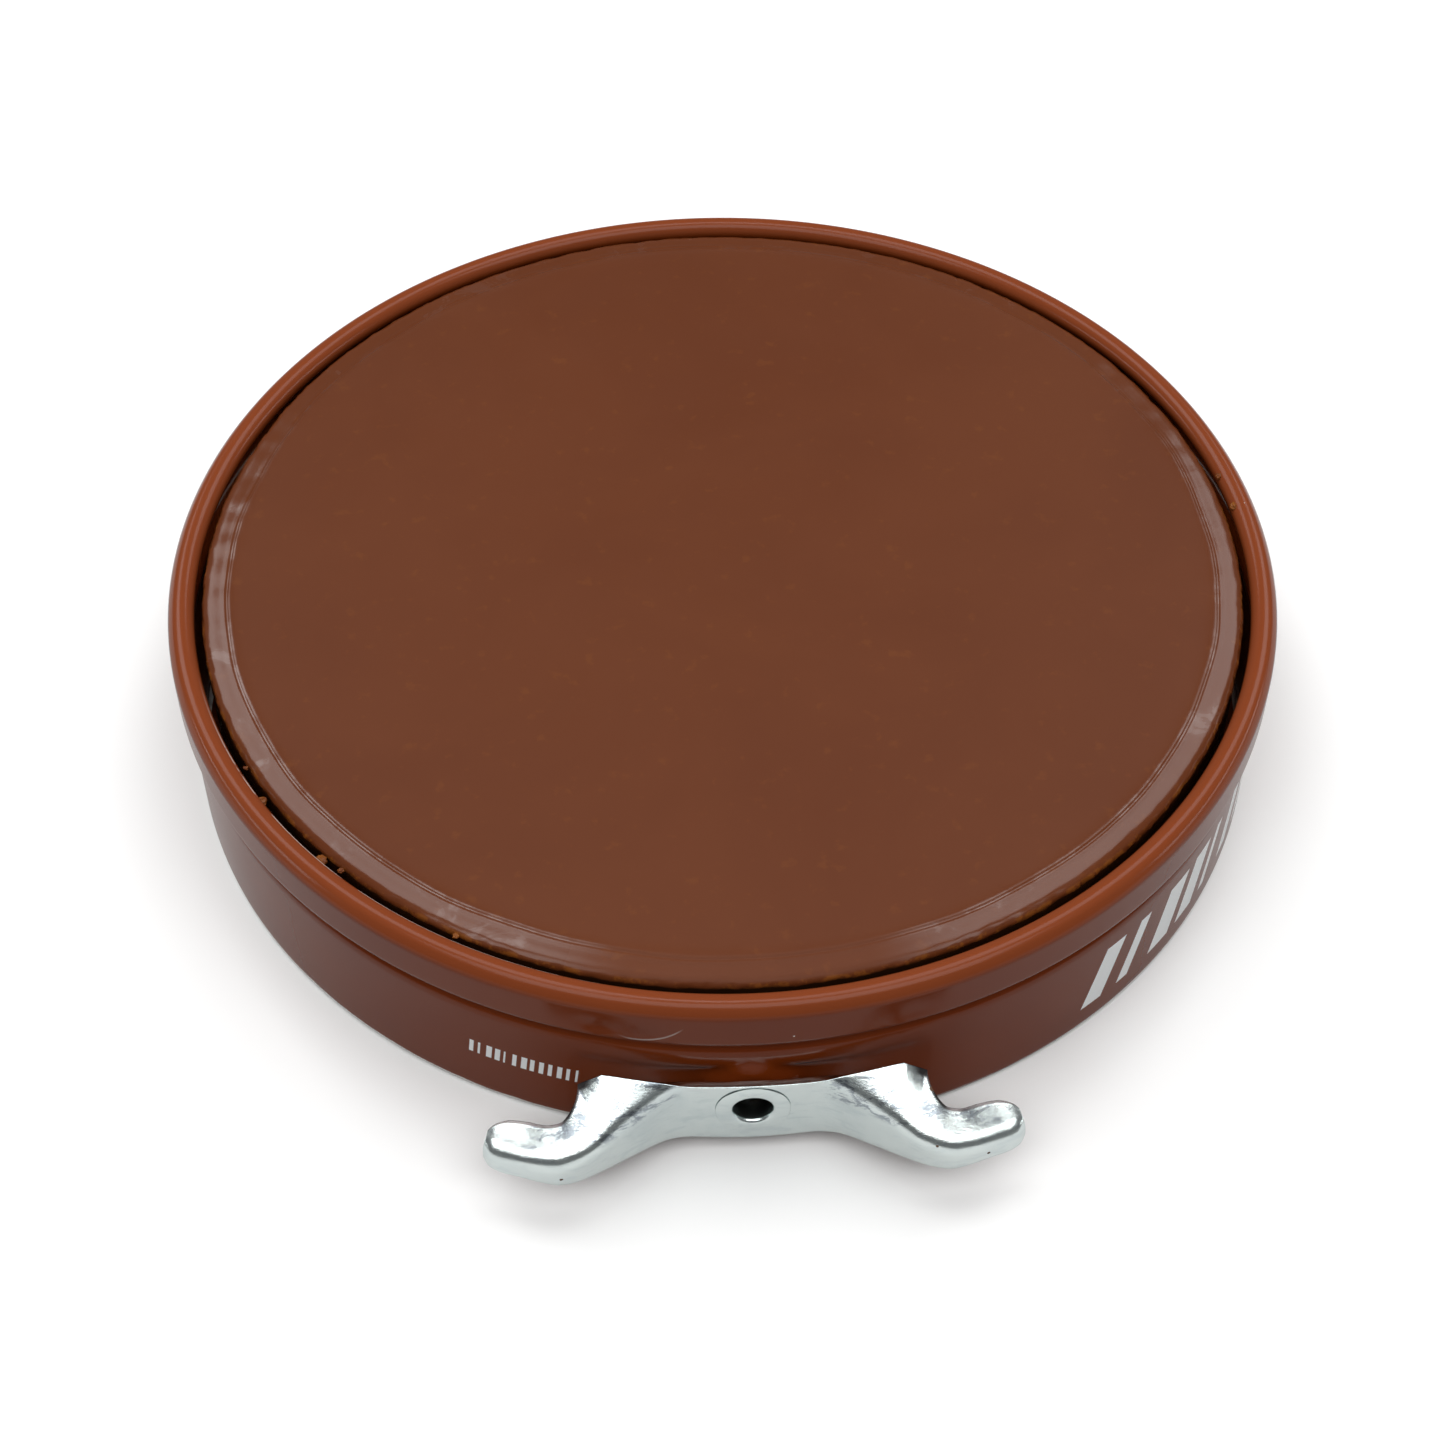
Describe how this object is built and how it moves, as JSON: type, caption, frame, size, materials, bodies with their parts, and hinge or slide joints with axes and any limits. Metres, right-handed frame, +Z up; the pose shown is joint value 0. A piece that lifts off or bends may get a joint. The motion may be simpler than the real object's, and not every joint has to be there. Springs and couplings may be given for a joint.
{
  "type": "shoe polish tin",
  "caption": "Open round shoe polish tin: a low lacquered pan with a rolled rim, full of hard polish, with a winged opener key that turns on a hollow rivet in the wall.",
  "frame": {"origin": "centre of the pan's flat underside", "axes": "+Z up, out of the open top; the opener key is on the front at -Y; +X to the right of someone facing the key"},
  "size_m": [0.0772, 0.0821, 0.0143],
  "materials": {
    "lacquer": "glossy brown lacquer on tinplate",
    "polish": "hard brown wax polish, satin top with a glossy shoulder",
    "zinc_plate": "bright zinc-plated pressed steel",
    "rivet_zinc": "zinc-plated hollow rivet"
  },
  "bodies": {
    "tin": {"tin_pan": "lacquer", "polish_cake": "polish", "hollow_rivet": "rivet_zinc"},
    "opener": {"opener_key": "zinc_plate"}
  },
  "joints": [
    {"name": "key_turn", "type": "hinge", "parent": "tin", "child": "opener", "pos_m": [0, -0.0392, 0.00485], "axis": [0, 1, 0], "range_deg": [-40, 40]}
  ]
}
